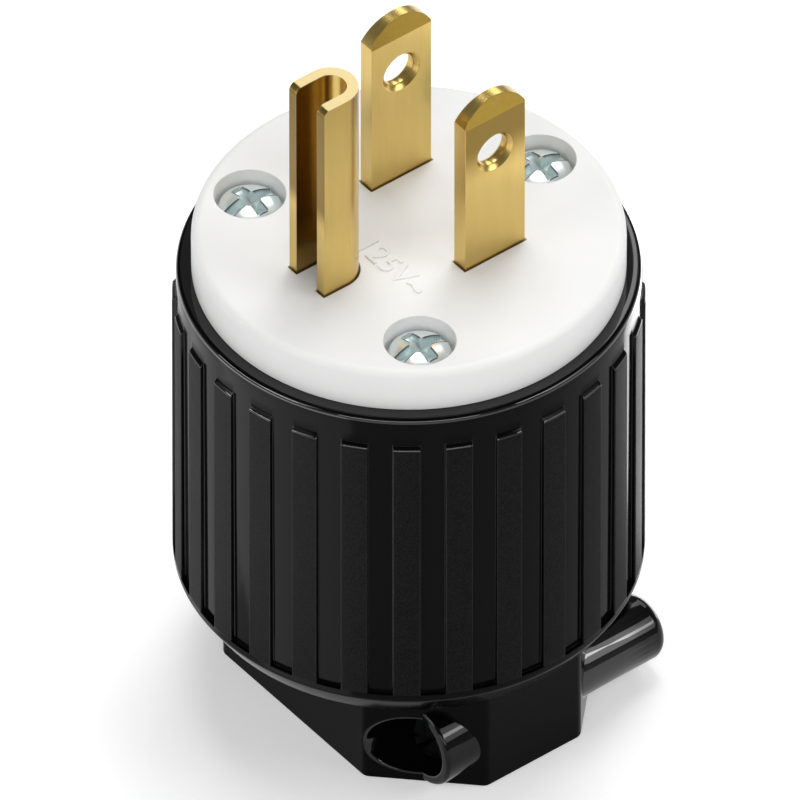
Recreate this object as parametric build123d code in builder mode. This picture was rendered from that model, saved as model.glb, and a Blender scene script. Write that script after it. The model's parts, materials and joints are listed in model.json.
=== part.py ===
from build123d import *
import os
from math import cos, radians, sin

# Three-pole cord connector, standing on its cord end with the blades up.
# The origin is on the axis at the neck's rear face; X runs from the ground pin
# to the blades, Y from the neutral blade to the hot blade. Millimetres.

# Clearances
slide_gap = 0.12        # moulded parts that slide together, on each side
screw_gap = 0.15        # radial room around a screw that passes through
thread_gap = 0.02       # radial room between a screw and the thread that holds it
mould_gap = 0.02        # around a metal insert in its moulding

# Neck: octagonal block, its bottom at the origin
neck_depth = 24.8
neck_width = 34.2
neck_length = 10.8
neck_chamfer = 7.35
neck_corner = 1.0
neck_end_round = 0.2
rear_wall = 1.6
cord_hole_radius = 7.0
cord_hole_round = 0.4

# Barrel: ribbed shell between a rim band at the bottom and a collar at the top
barrel_length = 33.9
barrel_radius = 19.56        # in the grooves
barrel_wall = 2.21
barrel_floor = 3.4
rim_band = 2.85             # height of the band, its sloping foot included
foot_height = 2.2
foot_inset = 1.35
foot_round = 0.25
foot_bend_round = 0.8       # where the foot bends into the band
rim_top_round = 0.45
rib_count = 28
rib_width = 2.31
rib_rise = 0.41             # rim band and ribs' lower ends, above the grooves
rib_draft = 0.07            # how much less the ribs rise at their heads
rib_head_chamfer = 0.35
collar_height = 2.85

# Face cap
cap_ledge = 1.29            # width of the barrel's rim round the cap
cap_height = 4.0
cap_round = 0.8
spigot_depth = 4.0

# Face screws, in wells on one circle: one beside the blades, two beside the pin
face_screw_angle = 124.3
well_edge = 1.22            # face left between a well and the cap's side
well_radius = 3.05
well_depth = 2.3
face_screw_radius = 1.75
face_screw_length = 27.0
face_head_radius = 2.6
face_head_height = 1.9
face_head_rim = 1.05
insert_radius = 2.5
insert_length = 7.0
insert_groove = 0.4
insert_groove_height = 1.75
insert_groove_foot = 4.2    # below the insert's upper end
boss_radius = 3.4

# Blades
blade_width = 6.35
blade_thickness = 1.52
blade_spacing = 12.7
blade_offset = 3.6          # blades' centre line, from the axis
blade_shoulder = 15.75      # straight edge above the face
blade_tip_rise = 1.95       # tip above the straight edge
blade_tip_thickness = 0.75
blade_hole_radius = 1.55
blade_hole_height = 11.6
blade_hole_chamfer = 0.4
tail_width = 9.4            # wide part under the face

# Ground pin, a strip folded to a U that is open away from the blades
pin_to_blades = 11.9
pin_diameter = 4.7
pin_wall = 0.97
pin_leg = 2.54              # leg's end, from the centre of the fold
pin_height = 20.6
pin_corner = 0.75
pin_root = 2.0              # length of the fold under the face

# Terminal carrier under the face
carrier_height = 15.5
carrier_floor = 1.8
carrier_gap = 0.25
carrier_web = 1.5           # half of the wall between the two line terminals
side_groove = 0.6           # depth of the grooves that hold the tails' edges
wire_slot_length = 7.4
wire_slot_width = 2.2

# Terminal screws and pressure plates
terminal_screw_radius = 2.05
terminal_head_radius = 3.6
terminal_head_height = 2.2
terminal_height = 7.0       # screw's axis above the carrier's floor
plate_width = 7.6
plate_height = 9.0
plate_thickness = 1.5
plate_groove = 0.3
plate_corner = 0.5
wire_gap = 2.0

# Cord clamp: screws run along X through tubes at the neck's two sides
clamp_spread = 12.8         # screw's axis from the neck's middle
clamp_height = 4.1
clamp_screw_radius = 1.5
clamp_screw_length = 14.0
clamp_head_radius = 2.75
clamp_head_height = 2.4
mouth_face = 8.9            # open end of the head tube, from the axis
mouth_tube_radius = 3.95
mouth_bore_radius = 3.05
mouth_round = 0.35
blind_tube_end = 15.65
blind_tube_radius = 3.0
blind_tube_taper = 0.7      # degrees
blind_tube_round = 1.2
blind_tube_wall = 2.0
jaw_height = 5.6
jaw_radius = 7.1            # concave side of both jaws
jaw_wall = 1.8
jaw_tooth = 0.5
jaw_tooth_count = 3
jaw_ear = 3.0
jaw_advance = 1.6           # how far the moving jaw is screwed in
pocket_end = 1.2            # centres of the pocket's round ends, from the axis
ear_pocket_depth = 8.8
ear_pocket_width = 31.2
fixed_jaw_start = 5.2

# Recesses in the screw heads
recess_width = 0.8
recess_depth = 0.7
cross_length = 3.5          # the face screws' shorter arms, end to end

# Radii worked out from the sizes above
bore_radius = barrel_radius - barrel_wall
rib_foot_radius = barrel_radius + rib_rise
rib_head_radius = rib_foot_radius - rib_draft
cap_radius = barrel_radius - cap_ledge
spigot_radius = bore_radius - slide_gap
screw_circle_radius = cap_radius - well_edge - well_radius

# Heights and places worked out from the sizes above
barrel_z = neck_length
groove_z = barrel_z + rim_band
chamber_z = barrel_z + barrel_floor
rim_z = barrel_z + barrel_length
face_z = rim_z + cap_height
spigot_z = rim_z - spigot_depth
carrier_z = spigot_z - carrier_height
cell_z = carrier_z + carrier_floor
terminal_z = cell_z + terminal_height
well_z = face_z - well_depth
pin_x = blade_offset - pin_to_blades
line_y = blade_spacing / 2
tail_top = spigot_z - slide_gap
tail_bottom = cell_z + slide_gap

screw_angles = {"blade_side": 0, "hot_side": face_screw_angle, "neutral_side": -face_screw_angle}
screw_spots = {
    place: (screw_circle_radius * cos(radians(angle)), screw_circle_radius * sin(radians(angle)))
    for place, angle in screw_angles.items()
}
clamp_spots = [(clamp_spread, clamp_height), (-clamp_spread, clamp_height)]
pocket_radius = jaw_radius + jaw_wall + slide_gap
jaw_z = rear_wall + slide_gap
ear_stop = ear_pocket_depth / 2     # the ears' last place, from the axis
head_stop = ear_stop - jaw_ear      # the clamp screws' heads are behind the ears


def save(piece, name):
    """Labels a finished piece and writes its file."""
    piece.part.label = name
    export_step(piece.part, f"parts/{name}.step")


def u_section(reach, wall, leg, gap=0.0):
    """The folded strip's U as a flat sketch, its round side towards +X."""
    outer = reach + gap
    inner = reach - wall - gap
    foot = leg + gap
    with BuildSketch() as section:
        with BuildLine():
            rear = Line((-foot, outer), (0, outer))
            bend = ThreePointArc(rear @ 1, (outer, 0), (0, -outer))
            front = Line(bend @ 1, (-foot, -outer))
            front_end = Line(front @ 1, (-foot, -inner))
            front_inner = Line(front_end @ 1, (0, -inner))
            bend_inner = ThreePointArc(front_inner @ 1, (inner, 0), (0, inner))
            rear_inner = Line(bend_inner @ 1, (-foot, inner))
            Line(rear_inner @ 1, rear @ 0)
        make_face()
    return section.sketch


os.makedirs("parts", exist_ok=True)

# Rib ring: the ribs' own section turned about the axis, kept where the ribs stand
with BuildPart() as rib_ring:
    rib_head_z = rim_z - collar_height
    with BuildSketch(Plane.XZ):
        with BuildLine():
            Polyline(
                (bore_radius, groove_z),
                (rib_foot_radius, groove_z),
                (rib_head_radius, rib_head_z - rib_head_chamfer),
                (rib_head_radius - rib_head_chamfer, rib_head_z),
                (bore_radius, rib_head_z),
                close=True,
            )
        make_face()
    revolve(axis=Axis.Z)
    with BuildSketch(Plane.XY.offset(groove_z)):
        with PolarLocations(barrel_radius, rib_count):
            Rectangle(barrel_radius - bore_radius, rib_width)
    extrude(amount=rib_head_z - groove_z, mode=Mode.INTERSECT)

# Mouth tubes for the clamp screws' heads, with a rounded lip
with BuildPart() as mouth_tubes:
    with BuildSketch(Plane.YZ.offset(-mouth_face)):
        with Locations(clamp_spots):
            Circle(mouth_tube_radius)
    extrude(amount=mouth_face)
    fillet(mouth_tubes.faces().sort_by(Axis.X)[:2].edges(), mouth_round)

# Blind tubes for the clamp screws' threads, tapered to a rounded closed end
with BuildPart() as blind_tubes:
    with BuildSketch(Plane.YZ.offset(blind_tube_end)):
        with Locations(clamp_spots):
            Circle(blind_tube_radius)
    extrude(amount=-blind_tube_end, taper=-blind_tube_taper)
    fillet(blind_tubes.faces().sort_by(Axis.X)[-2:].edges(), blind_tube_round)

# Rear housing: one moulding of barrel, neck, screw tubes and insert bosses
boss_web = (bore_radius + barrel_radius) / 2 - screw_circle_radius
with BuildPart() as rear_housing:
    with BuildSketch(Plane.XZ):
        with BuildLine():
            Polyline(
                (0, barrel_z),
                (rib_foot_radius - foot_inset, barrel_z),
                (rib_foot_radius, barrel_z + foot_height),
                (rib_foot_radius, groove_z),
                (barrel_radius, groove_z),
                (barrel_radius, rim_z),
                (bore_radius, rim_z),
                (bore_radius, chamber_z),
                (0, chamber_z),
                close=True,
            )
        make_face()
    revolve(axis=Axis.Z)
    rims = rear_housing.edges().filter_by(GeomType.CIRCLE)
    fillet(rims.group_by(Axis.Z)[1], foot_bend_round)
    rims = rear_housing.edges().filter_by(GeomType.CIRCLE)
    fillet(rims.group_by(Axis.Z)[0], foot_round)
    rims = rear_housing.edges().filter_by(GeomType.CIRCLE)
    fillet(rims.group_by(Axis.Z)[-1].sort_by(SortBy.RADIUS)[-1], rim_top_round)
    add(rib_ring.part)
    with BuildSketch() as neck_outline:
        Rectangle(neck_depth, neck_width)
        chamfer(neck_outline.vertices(), neck_chamfer)
        fillet(neck_outline.vertices(), neck_corner)
    extrude(amount=neck_length)
    fillet(rear_housing.faces().sort_by(Axis.Z)[0].edges(), neck_end_round)
    add(mouth_tubes.part)
    add(blind_tubes.part)
    # Boss columns for the inserts, each joined to the wall beside it
    with BuildSketch(Plane.XY.offset(barrel_z)):
        for angle in screw_angles.values():
            with PolarLocations(screw_circle_radius, 1, start_angle=angle):
                Circle(boss_radius)
                Rectangle(boss_web, boss_radius, align=(Align.MIN, Align.CENTER))
    extrude(amount=carrier_z - barrel_z)
    # Pocket for the jaws, open to the wiring chamber, and the cord hole
    with BuildSketch(Plane.XY.offset(rear_wall)) as jaw_pocket:
        SlotCenterToCenter(2 * pocket_end, 2 * pocket_radius)
        Rectangle(ear_pocket_depth, ear_pocket_width)
    extrude(amount=chamber_z - rear_wall, mode=Mode.SUBTRACT)
    with BuildSketch():
        Circle(cord_hole_radius)
    extrude(amount=rear_wall, mode=Mode.SUBTRACT)
    rear_face = rear_housing.faces().sort_by(Axis.Z)[0]
    fillet(rear_face.inner_wires().edges(), cord_hole_round)
    # Mouths: bores for the clamp screws' heads, through the slanted faces and the tubes
    with BuildSketch(Plane.YZ.offset(head_stop)):
        with Locations(clamp_spots):
            Circle(mouth_bore_radius)
    extrude(amount=-neck_depth, mode=Mode.SUBTRACT)
    # Threaded bores in the blind tubes
    with BuildSketch(Plane.YZ):
        with Locations(clamp_spots):
            Circle(clamp_screw_radius + thread_gap)
    extrude(amount=blind_tube_end - blind_tube_wall, mode=Mode.SUBTRACT)
    # Insert seats, with room under each for the screw's end
    for x, y in screw_spots.values():
        with Locations((x, y, carrier_z)):
            Hole(face_screw_radius + screw_gap, depth=carrier_z - chamber_z)
            Hole(insert_radius + mould_gap, depth=insert_length)

# Front face: cap, spigot, screw wells and the slots for blades and pin
with BuildPart() as front_face:
    with BuildSketch(Plane.XY.offset(spigot_z)):
        Circle(spigot_radius)
    extrude(amount=spigot_depth)
    with BuildSketch(Plane.XY.offset(rim_z)):
        Circle(cap_radius)
    extrude(amount=cap_height)
    fillet(front_face.edges().group_by(Axis.Z)[-1], cap_round)
    for x, y in screw_spots.values():
        with Locations((x, y, face_z)):
            CounterBoreHole(face_screw_radius + screw_gap, well_radius, well_depth)
    with BuildSketch(Plane.XY.offset(spigot_z)):
        with Locations((blade_offset, line_y), (blade_offset, -line_y)):
            Rectangle(blade_width + 2 * slide_gap, blade_thickness + 2 * slide_gap)
    extrude(amount=face_z - spigot_z, mode=Mode.SUBTRACT)
    with BuildSketch(Plane((pin_x, 0, spigot_z))):
        add(u_section(pin_diameter / 2, pin_wall, pin_leg, slide_gap))
    extrude(amount=face_z - spigot_z, mode=Mode.SUBTRACT)


def make_blade(side):
    """A blade with its tail: outline cut from strip, then coined thin at the tip."""
    y = side * line_y
    edge_z = face_z + blade_shoulder
    tip_z = edge_z + blade_tip_rise
    half = blade_width / 2
    with BuildPart() as blade:
        with BuildSketch(Plane.XZ.offset(-y)):
            with BuildLine():
                left = Line((blade_offset - half, tail_top), (blade_offset - half, edge_z))
                tip = ThreePointArc(left @ 1, (blade_offset, tip_z), (blade_offset + half, edge_z))
                right = Line(tip @ 1, (blade_offset + half, tail_top))
                Line(right @ 1, left @ 0)
            make_face()
            with Locations((blade_offset, (tail_top + tail_bottom) / 2)):
                Rectangle(tail_width, tail_top - tail_bottom)
        extrude(amount=blade_thickness / 2, both=True)
        with BuildSketch(Plane.YZ):
            with BuildLine():
                Polyline(
                    (y - blade_thickness / 2, tail_bottom),
                    (y + blade_thickness / 2, tail_bottom),
                    (y + blade_thickness / 2, edge_z),
                    (y + blade_tip_thickness / 2, tip_z),
                    (y - blade_tip_thickness / 2, tip_z),
                    (y - blade_thickness / 2, edge_z),
                    close=True,
                )
            make_face()
        extrude(amount=blade_offset + tail_width, mode=Mode.INTERSECT, both=True)
        with BuildSketch(Plane.XZ.offset(-y)):
            with Locations((blade_offset, face_z + blade_hole_height)):
                Circle(blade_hole_radius)
        extrude(amount=blade_thickness, both=True, mode=Mode.SUBTRACT)
        chamfer(blade.edges().filter_by(lambda edge: edge.is_closed), blade_hole_chamfer)
        with BuildSketch(Plane.XZ.offset(-y)):
            with Locations((blade_offset, terminal_z)):
                Circle(terminal_screw_radius + screw_gap)
        extrude(amount=blade_thickness, both=True, mode=Mode.SUBTRACT)
    return blade


hot_blade = make_blade(1)
neutral_blade = make_blade(-1)

# Ground pin: the fold, its legs' corners cut, and the flat tab that it was folded from
with BuildPart() as ground_pin:
    tab_x = pin_x + pin_diameter / 2 - pin_wall
    with BuildSketch(Plane((pin_x, 0, spigot_z - pin_root))):
        add(u_section(pin_diameter / 2, pin_wall, pin_leg))
    extrude(amount=face_z + pin_height - spigot_z + pin_root)
    fillet(ground_pin.faces().sort_by(Axis.Z)[-1].edges().sort_by(Axis.X)[:2], pin_corner)
    with BuildSketch(Plane.YZ.offset(tab_x)):
        with Locations((0, (tail_top + tail_bottom) / 2)):
            Rectangle(tail_width, tail_top - tail_bottom)
        with Locations((0, terminal_z)):
            Circle(terminal_screw_radius + screw_gap, mode=Mode.SUBTRACT)
    extrude(amount=pin_wall)

# Each terminal's own plane: its origin on the screw's axis at the tail's outer
# side, its normal pointing the way the screw comes out
tail_y = line_y + blade_thickness / 2
terminals = {
    "hot": Plane((blade_offset, tail_y, terminal_z), x_dir=(-1, 0, 0), z_dir=(0, 1, 0)),
    "neutral": Plane((blade_offset, -tail_y, terminal_z), x_dir=(1, 0, 0), z_dir=(0, -1, 0)),
    "ground": Plane((tab_x, 0, terminal_z), x_dir=(0, -1, 0), z_dir=(-1, 0, 0)),
}
tail_walls = {"hot": blade_thickness, "neutral": blade_thickness, "ground": pin_wall}


def make_terminal_screw(name):
    """A binding screw: a domed head on the tail and a shank as far as the plate's back."""
    seat = terminals[name]
    reach = tail_walls[name] + wire_gap + plate_thickness
    with BuildPart() as screw:
        with BuildSketch(seat):
            Circle(terminal_head_radius)
        extrude(amount=terminal_head_height)
        crown = screw.faces().sort_by(Axis(seat.origin, seat.z_dir))[-1]
        fillet(crown.edges(), terminal_head_height / 3)
        with BuildSketch(seat.offset(terminal_head_height)):
            Rectangle(2 * terminal_head_radius, recess_width)
            Rectangle(recess_width, terminal_head_radius)
        extrude(amount=-recess_depth, mode=Mode.SUBTRACT)
        with BuildSketch(seat):
            Circle(terminal_screw_radius)
        extrude(amount=-reach)
    return screw


def make_pressure_plate(name):
    """The threaded plate that the screw pulls against the wire, ribbed on that side."""
    back = terminals[name].offset(-tail_walls[name] - wire_gap)
    with BuildPart() as plate:
        with BuildSketch(back):
            RectangleRounded(plate_width, plate_height, plate_corner)
            Circle(terminal_screw_radius + thread_gap, mode=Mode.SUBTRACT)
        extrude(amount=-plate_thickness)
        with BuildSketch(back):
            with GridLocations(0, plate_height / 4, 1, 4):
                Rectangle(plate_width, plate_groove)
        extrude(amount=-plate_groove, mode=Mode.SUBTRACT)
    return plate


# Terminal carrier: a drum with an open cell for each terminal
with BuildPart() as terminal_carrier:
    cell_width = tail_width - 2 * side_groove
    with BuildSketch(Plane.XY.offset(carrier_z)):
        Circle(bore_radius - carrier_gap)
    extrude(amount=carrier_height)
    for x, y in screw_spots.values():
        with Locations((x, y, spigot_z)):
            Hole(face_screw_radius + screw_gap)
    with BuildSketch(Plane.XY.offset(cell_z)):
        for side in (1, -1):
            with Locations((blade_offset, side * (carrier_web + bore_radius / 2))):
                Rectangle(cell_width, bore_radius)
            with Locations((blade_offset, side * line_y)):
                Rectangle(tail_width + 2 * slide_gap, blade_thickness + 2 * slide_gap)
        back_x = tab_x + pin_wall + wire_gap + plate_thickness
        with Locations((back_x - bore_radius / 2, 0)):
            Rectangle(bore_radius, cell_width)
        with Locations((tab_x + pin_wall / 2, 0)):
            Rectangle(pin_wall + 2 * slide_gap, tail_width + 2 * slide_gap)
    extrude(amount=carrier_height, mode=Mode.SUBTRACT)
    # Slots through the floor that lead each wire between tail and plate
    with BuildSketch(Plane.XY.offset(carrier_z)):
        for side in (1, -1):
            with Locations((blade_offset, side * (line_y - blade_thickness / 2 - wire_gap / 2))):
                SlotOverall(wire_slot_length, wire_slot_width)
        with Locations((tab_x + pin_wall + wire_gap / 2, 0)):
            SlotOverall(wire_slot_length, wire_slot_width, rotation=90)
    extrude(amount=carrier_floor, mode=Mode.SUBTRACT)


def make_face_screw(spot):
    """A pan-head screw down through the face and the carrier into its insert."""
    x, y = spot
    dome = face_head_height - face_head_rim
    with BuildPart() as screw:
        with BuildSketch(Plane((x, y, well_z), x_dir=(1, 0, 0), z_dir=(0, -1, 0))):
            with BuildLine():
                foot = Polyline(
                    (0, -face_screw_length),
                    (face_screw_radius, -face_screw_length),
                    (face_screw_radius, 0),
                    (face_head_radius, 0),
                    (face_head_radius, face_head_rim),
                )
                crown = RadiusArc(
                    foot @ 1,
                    (0, face_head_height),
                    -(face_head_radius**2 + dome**2) / (2 * dome),
                )
                Line(crown @ 1, foot @ 0)
            make_face()
        revolve(axis=Axis((x, y, 0), (0, 0, 1)))
        with BuildSketch(Plane.XY.offset(well_z + face_head_height)):
            with Locations((x, y)):
                Rectangle(2 * face_head_radius, recess_width)
                Rectangle(recess_width, cross_length)
        extrude(amount=-recess_depth, mode=Mode.SUBTRACT)
    return screw


def make_insert(spot):
    """A threaded insert, waisted so that the moulding holds it."""
    x, y = spot
    with BuildPart() as insert:
        with Locations((x, y, carrier_z - insert_length)):
            Cylinder(insert_radius, insert_length, align=(Align.CENTER, Align.CENTER, Align.MIN))
        with BuildSketch(Plane.XY.offset(carrier_z - insert_groove_foot)):
            with Locations((x, y)):
                Circle(insert_radius)
                Circle(insert_radius - insert_groove, mode=Mode.SUBTRACT)
        extrude(amount=insert_groove_height, mode=Mode.SUBTRACT)
        with Locations((x, y, carrier_z)):
            Hole(face_screw_radius + thread_gap)
    return insert


# Clamp jaws: both are turned toothed hollows cut from a moulded block
with BuildPart() as jaw_bore:
    tooth_pitch = jaw_height / jaw_tooth_count
    with BuildSketch(Plane.XZ):
        with BuildLine():
            points = [(0, jaw_z), (jaw_radius, jaw_z)]
            for tooth in range(jaw_tooth_count):
                foot_z = jaw_z + tooth * tooth_pitch
                points.append((jaw_radius - jaw_tooth, foot_z + tooth_pitch / 2))
                points.append((jaw_radius, foot_z + tooth_pitch))
            points.append((0, jaw_z + jaw_height))
            Polyline(points, close=True)
        make_face()
    revolve(axis=Axis.Z)

with BuildPart() as moving_clamp_jaw:
    jaw_x = jaw_advance - pocket_end
    ear_length = ear_pocket_width / 2 - slide_gap
    with BuildSketch(Plane.XY.offset(jaw_z)):
        with Locations((jaw_x, 0)):
            Circle(jaw_radius + jaw_wall)
            Rectangle(jaw_ear, 2 * ear_length, align=(Align.MAX, Align.CENTER))
            Rectangle(neck_depth, neck_width, align=(Align.MIN, Align.CENTER), mode=Mode.SUBTRACT)
    extrude(amount=jaw_height)
    add(jaw_bore.part.moved(Location((jaw_x, 0, 0))), mode=Mode.SUBTRACT)
    with BuildSketch(Plane.YZ.offset(jaw_x)):
        with Locations(clamp_spots):
            Circle(clamp_screw_radius + screw_gap)
    extrude(amount=-jaw_ear, mode=Mode.SUBTRACT)

with BuildPart() as fixed_clamp_jaw:
    with BuildSketch(Plane.XY.offset(jaw_z)):
        with Locations((pocket_end, 0)):
            Circle(jaw_radius + jaw_wall)
        with Locations((fixed_jaw_start, 0)):
            Rectangle(neck_depth, neck_width, align=(Align.MAX, Align.CENTER), mode=Mode.SUBTRACT)
    extrude(amount=jaw_height)
    add(jaw_bore.part.moved(Location((pocket_end, 0, 0))), mode=Mode.SUBTRACT)


def make_clamp_screw(side):
    """A clamp screw: its head pulls the moving jaw, its end holds in the blind tube."""
    under_head = (jaw_x - jaw_ear, side * clamp_spread, clamp_height)
    seat = Plane(under_head, x_dir=(0, 1, 0), z_dir=(-1, 0, 0))
    with BuildPart() as screw:
        with BuildSketch(seat):
            Circle(clamp_head_radius)
        extrude(amount=clamp_head_height)
        fillet(screw.faces().sort_by(Axis.X)[0].edges(), clamp_head_height / 3)
        with BuildSketch(seat.offset(clamp_head_height)):
            Rectangle(2 * clamp_head_radius, recess_width)
            Rectangle(recess_width, clamp_head_radius)
        extrude(amount=-recess_depth, mode=Mode.SUBTRACT)
        with BuildSketch(seat):
            Circle(clamp_screw_radius)
        extrude(amount=-clamp_screw_length)
    return screw


save(rear_housing, "rear_housing")
save(front_face, "front_face")
save(hot_blade, "hot_blade")
save(neutral_blade, "neutral_blade")
save(ground_pin, "ground_pin")
save(terminal_carrier, "terminal_carrier")
for terminal in terminals:
    save(make_terminal_screw(terminal), f"{terminal}_terminal_screw")
    save(make_pressure_plate(terminal), f"{terminal}_pressure_plate")
for place, spot in screw_spots.items():
    save(make_face_screw(spot), f"face_screw_{place}")
    save(make_insert(spot), f"threaded_insert_{place}")
save(moving_clamp_jaw, "moving_clamp_jaw")
save(fixed_clamp_jaw, "fixed_clamp_jaw")
save(make_clamp_screw(1), "clamp_screw_hot_side")
save(make_clamp_screw(-1), "clamp_screw_neutral_side")
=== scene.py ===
"""Looks of the cord connector: white face, ribbed black housing, brass blades and plated screws.

Lengths are written in millimetres and turned to metres by MM. The plug stands on its
neck, X runs from the ground pin to the blades and Y from the neutral to the hot blade.
"""

import json
from math import cos, pi, radians, sin

import bmesh
import bpy
import numpy as np
from mathutils import Matrix, Vector


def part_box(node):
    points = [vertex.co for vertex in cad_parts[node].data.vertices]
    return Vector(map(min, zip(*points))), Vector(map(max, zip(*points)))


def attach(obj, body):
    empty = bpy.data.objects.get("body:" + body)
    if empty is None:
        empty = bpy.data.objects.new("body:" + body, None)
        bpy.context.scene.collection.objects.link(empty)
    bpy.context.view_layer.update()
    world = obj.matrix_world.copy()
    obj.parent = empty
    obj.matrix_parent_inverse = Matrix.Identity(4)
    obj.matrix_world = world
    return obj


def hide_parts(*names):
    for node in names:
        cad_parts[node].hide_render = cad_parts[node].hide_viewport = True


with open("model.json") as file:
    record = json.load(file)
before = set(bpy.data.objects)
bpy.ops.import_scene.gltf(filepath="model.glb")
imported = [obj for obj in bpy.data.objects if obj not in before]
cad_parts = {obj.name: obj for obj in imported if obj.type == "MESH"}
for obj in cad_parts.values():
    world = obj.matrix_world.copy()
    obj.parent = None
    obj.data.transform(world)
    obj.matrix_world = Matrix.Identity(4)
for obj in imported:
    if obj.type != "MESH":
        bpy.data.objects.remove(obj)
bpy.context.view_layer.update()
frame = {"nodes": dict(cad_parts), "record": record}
nodes = frame["nodes"]
scene = bpy.context.scene

MM = 0.001

# The photograph's view: a long lens, so that the picture is almost parallel
photo_size = 800
photo_pixels_per_mm = 11.88
photo_face_centre = (408.8, 228.5)
view_azimuth = -38.06
view_elevation = 42.5
lens_mm = 1600
sensor_mm = 36
true_scale_height = 30      # height on the axis where the picture's scale is exact

# Sizes from the frame: two heights and the barrel's reach in metres, the ground pin's
# back in millimetres
face_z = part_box("front_face")[1].z
rim_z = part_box("rear_housing")[1].z
barrel_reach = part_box("rear_housing")[1].x
pin_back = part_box("ground_pin")[0].x / MM

# The housing, in millimetres
barrel_foot = 10.8          # the barrel's lower end
foot_height = 2.2           # its sloping foot
foot_inset = 1.35
foot_round = 0.25
foot_bend_round = 0.8
band_top = 13.65            # the lower band's upper edge, where the grooves end
groove_radius = 19.56
rib_foot_radius = barrel_reach / MM
rib_head_radius = 19.90
rib_head = 41.85
rib_chamfer = 0.34
rib_half_width = 1.155
rib_count = 28
edge_round = 0.07
rim_round = 0.45
rim_flat_radius = 18.6
seam_radius = 18.0          # hidden under the cap, where barrel and core meet
mouth_spot = (12.8, 4.1)    # the clamp screws' axes, distance from the middle and height
mouth_radius = 3.05
mouth_depth = -5.0          # the bores come out of the neck in front of this
mouth_edge = 0.13

# The blades and the ground pin, in millimetres
blade_aside = 6.35          # on Y, from the middle plane
blade_middle = 3.6          # on X, both blades
blade_half_width = 3.175
blade_half_thickness = 0.76
blade_edge = 64.45          # the straight sides end here and the tip's arc begins
blade_tip = 66.4
blade_tip_half = 0.5        # half the thickness at the tip's end
coin_lead = 0.15            # the coined slopes start this much below the arc's ends
coin_start = blade_edge - coin_lead
coin_slope = (blade_half_thickness - blade_tip_half) / (blade_tip - coin_start)
blade_hole = (60.3, 1.55, 0.4)      # height, radius, chamfer
tail_hole = (34.0, 2.2)     # height, radius
tail_span = (27.12, 40.58)
tail_half_width = 4.7
rating_spot = (-4.2, 0.4)   # the middle of the rating's letters on the face
pin_end = 69.3
pin_spot = -8.3             # the ground pin's middle, on X

# Camera

def direction(azimuth, elevation):
    """The unit vector towards a place, by its angles in degrees; azimuth 0 lies along -Y."""
    azimuth = radians(azimuth)
    elevation = radians(elevation)
    return Vector((
        sin(azimuth) * cos(elevation),
        -cos(azimuth) * cos(elevation),
        sin(elevation),
    ))


def aim_camera():
    """Places the camera so that the face's centre falls where the photograph has it."""
    back = direction(view_azimuth, view_elevation)
    turn = (-back).to_track_quat("-Z", "Y")
    right = turn @ Vector((1, 0, 0))
    up = turn @ Vector((0, 1, 0))
    middle = photo_size / 2
    aside = (photo_face_centre[0] - middle) / photo_pixels_per_mm
    above = (middle - photo_face_centre[1]) / photo_pixels_per_mm
    above -= (face_z / MM - true_scale_height) * cos(radians(view_elevation))
    target = Vector((0, 0, true_scale_height * MM)) - (right * aside + up * above) * MM
    distance = lens_mm / sensor_mm * photo_size / photo_pixels_per_mm * MM
    camera_data = bpy.data.cameras.new("camera")
    camera_data.lens = lens_mm
    camera_data.sensor_width = sensor_mm
    camera = bpy.data.objects.new("camera", camera_data)
    scene.collection.objects.link(camera)
    camera.location = target + back * distance
    camera.rotation_mode = "QUATERNION"
    camera.rotation_quaternion = turn
    scene.camera = camera


# Shader expressions

class Value:
    """A socket's value over a surface. Arithmetic on it adds the Math node of each step."""

    def __init__(self, finish, socket):
        self.finish = finish
        self.socket = socket

    def __add__(self, other):
        return self.finish.math("ADD", self, other)

    __radd__ = __add__

    def __sub__(self, other):
        return self.finish.math("SUBTRACT", self, other)

    def __rsub__(self, other):
        return self.finish.math("SUBTRACT", other, self)

    def __mul__(self, other):
        return self.finish.math("MULTIPLY", self, other)

    __rmul__ = __mul__

    def __abs__(self):
        return self.finish.math("ABSOLUTE", self)

    def root(self):
        """The value's square root."""
        return self.finish.math("SQRT", self)

    def step(self, low, high):
        """0 below low and 1 above high, with a smooth ramp between."""
        return self.finish.node(
            "ShaderNodeMapRange",
            {"interpolation_type": "SMOOTHSTEP"},
            {"Value": self, "From Min": low, "From Max": high},
        )

    def band(self, low, full, fading, gone):
        """1 from full to fading, 0 below low and above gone, with smooth ramps between."""
        return self.step(low, full) * (1 - self.step(fading, gone))


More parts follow.
